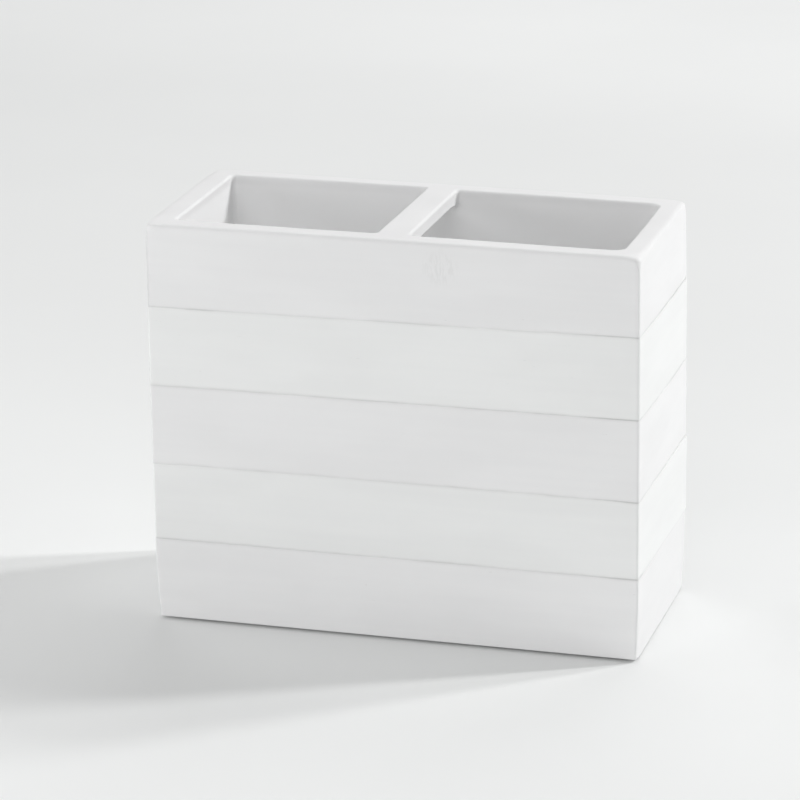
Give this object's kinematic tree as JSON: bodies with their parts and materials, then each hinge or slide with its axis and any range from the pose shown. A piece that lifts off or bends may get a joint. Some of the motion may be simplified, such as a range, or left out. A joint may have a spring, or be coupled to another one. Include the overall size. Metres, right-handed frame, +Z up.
{
  "type": "toothbrush holder",
  "caption": "Rectangular holder for toothbrushes and paste: stacked ring courses with V seams, an open top parted by a shallow crossbar into two mouths, closed floor, thin foot pads.",
  "frame": {"origin": "centre of the plane that the foot pads stand on", "axes": "+X along the width, toward the right side; -Y toward the front; +Z up"},
  "size_m": [0.127, 0.056, 0.106],
  "materials": {
    "white_lacquer": "satin white lacquer over wood",
    "dowel_wood": "plain beech",
    "foot_rubber": "matt"
  },
  "bodies": {
    "root": {"base_course": "white_lacquer", "lower_course": "white_lacquer", "middle_course": "white_lacquer", "upper_course": "white_lacquer", "rim_course": "white_lacquer", "crossbar": "white_lacquer", "floor_panel": "white_lacquer", "dowel_front_left": "dowel_wood", "dowel_front_right": "dowel_wood", "dowel_back_left": "dowel_wood", "dowel_back_right": "dowel_wood", "foot_front_left": "foot_rubber", "foot_front_right": "foot_rubber", "foot_back_left": "foot_rubber", "foot_back_right": "foot_rubber"}
  },
  "joints": []
}
